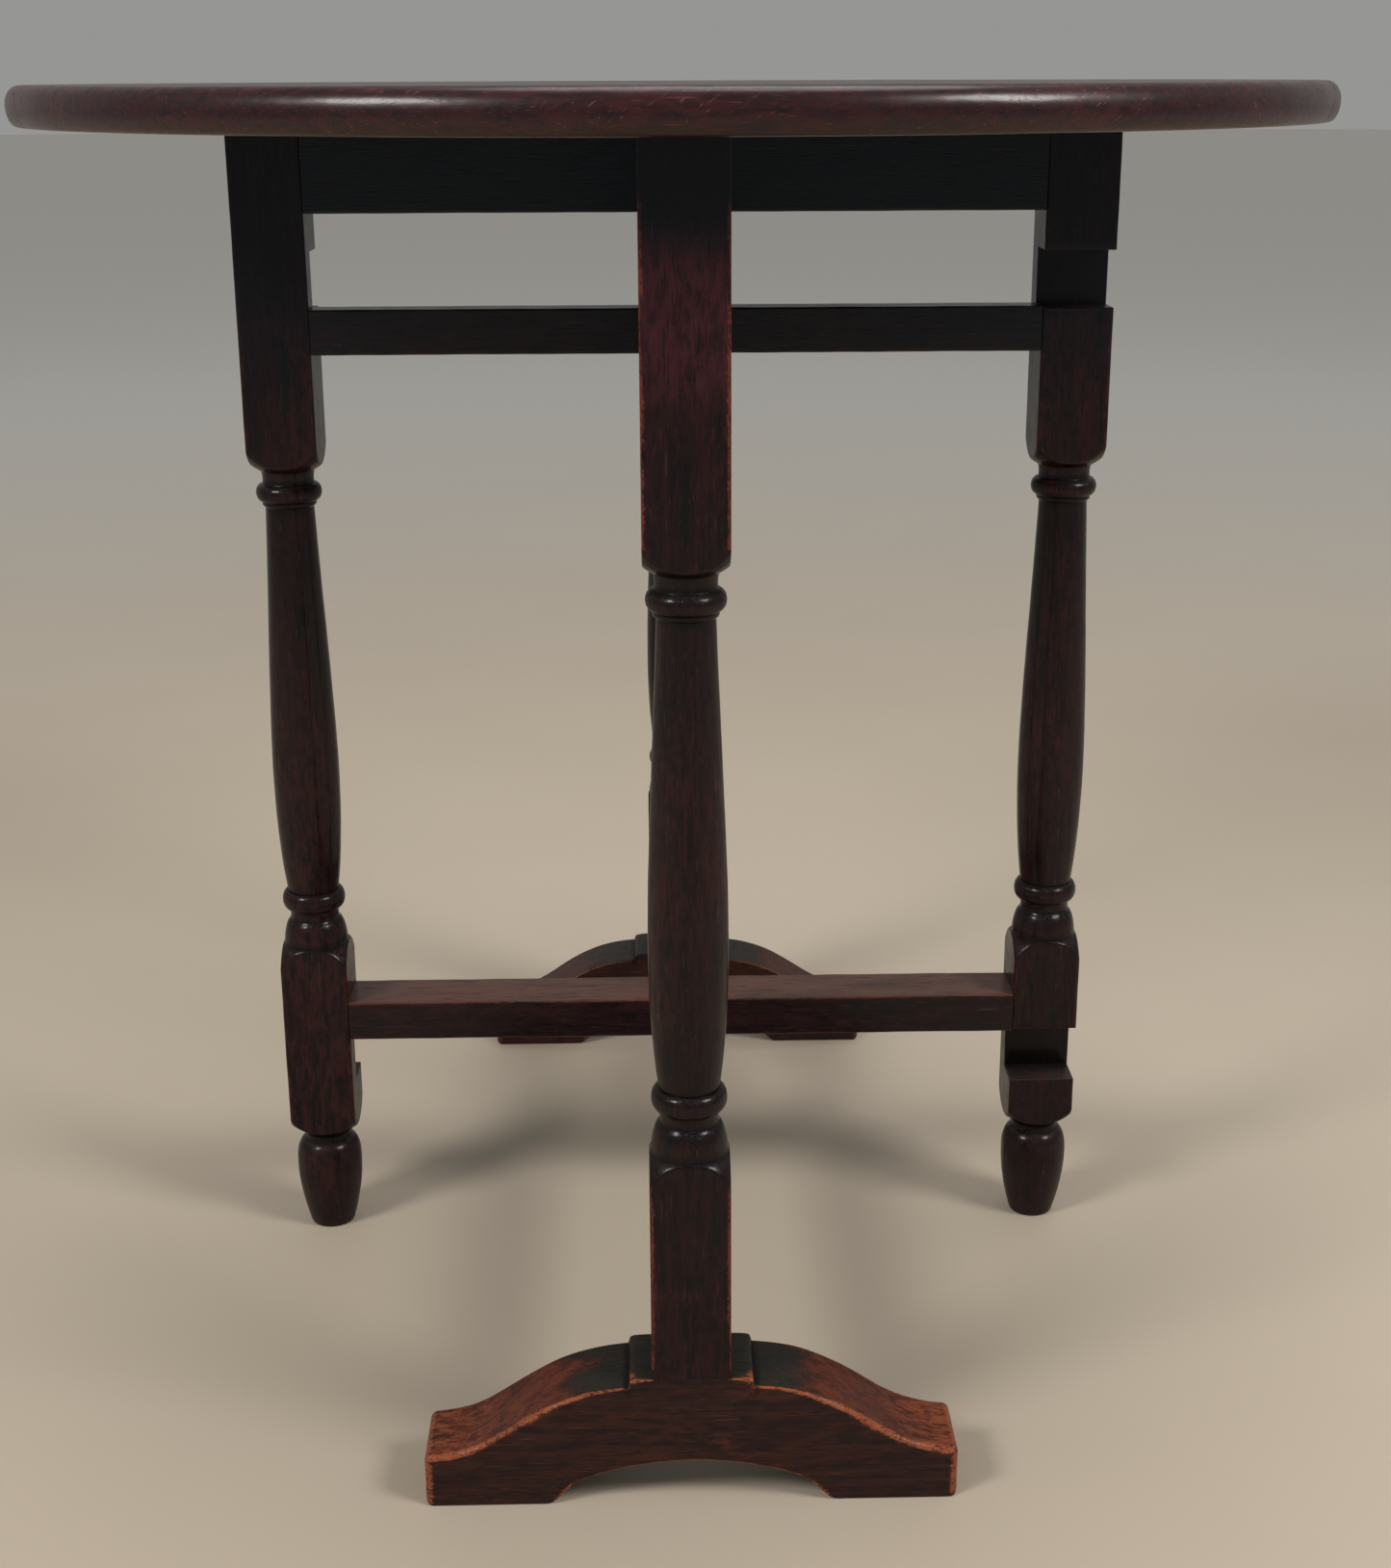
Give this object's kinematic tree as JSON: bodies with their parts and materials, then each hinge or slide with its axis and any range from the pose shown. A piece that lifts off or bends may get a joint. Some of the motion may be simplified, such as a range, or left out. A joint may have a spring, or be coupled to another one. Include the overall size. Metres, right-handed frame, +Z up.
{
  "type": "drop leaf table",
  "caption": "Round oak drop leaf table: turned legs and rails carry a fixed centre board, and a centre-pivoted gate on arched sledge feet swings out under the leaves.",
  "frame": {"origin": "on the floor under the centre of the round top", "axes": "+Z up, X along the fixed frame and the hinge lines of the leaves, Y along the open gate, -Y towards the front leaf"},
  "size_m": [0.7218, 0.722, 0.71],
  "materials": {
    "dark_oak": "dark stained oak, waxed satin, worn red-brown on the arrises",
    "top_oak": "red-brown stained oak, polished to a soft gloss, small nicks on the edge",
    "foot_oak": "stained oak, waxed, worn paler on the upper faces and edges",
    "steel": "dull aged steel",
    "hinge_brass": "tarnished brass"
  },
  "bodies": {
    "fixed_frame": {"left_leg": "dark_oak", "right_leg": "dark_oak", "top_rail": "dark_oak", "middle_rail": "dark_oak", "pivot_block": "dark_oak", "lower_stretcher": "dark_oak", "centre_top": "top_oak", "top_screws": "steel", "upper_pivot_pin": "steel", "lower_pivot_pin": "steel", "pivot_washers": "steel", "front_hinge_plates": "hinge_brass", "rear_hinge_plates": "hinge_brass", "front_hinge_pins": "steel", "rear_hinge_pins": "steel", "front_hinge_screws": "steel", "rear_hinge_screws": "steel"},
    "swing_gate": {"front_post": "dark_oak", "rear_post": "dark_oak", "gate_upper_rail": "dark_oak", "gate_lower_rail": "dark_oak", "front_foot": "foot_oak", "rear_foot": "foot_oak"},
    "front_leaf_assembly": {"front_leaf": "top_oak", "front_leaf_plates": "hinge_brass", "front_leaf_screws": "steel"},
    "rear_leaf_assembly": {"rear_leaf": "top_oak", "rear_leaf_plates": "hinge_brass", "rear_leaf_screws": "steel"}
  },
  "joints": [
    {"name": "gate_swing", "type": "hinge", "parent": "fixed_frame", "child": "swing_gate", "pos_m": [0, 0, 0.35], "axis": [0, 0, 1], "range_deg": [0, 87.5]},
    {"name": "front_leaf_hinge", "type": "hinge", "parent": "fixed_frame", "child": "front_leaf_assembly", "pos_m": [0, -0.14, 0.692], "axis": [-1, 0, 0], "range_deg": [0, 2]},
    {"name": "rear_leaf_hinge", "type": "hinge", "parent": "fixed_frame", "child": "rear_leaf_assembly", "pos_m": [0, 0.14, 0.692], "axis": [1, 0, 0], "range_deg": [0, 2]}
  ]
}
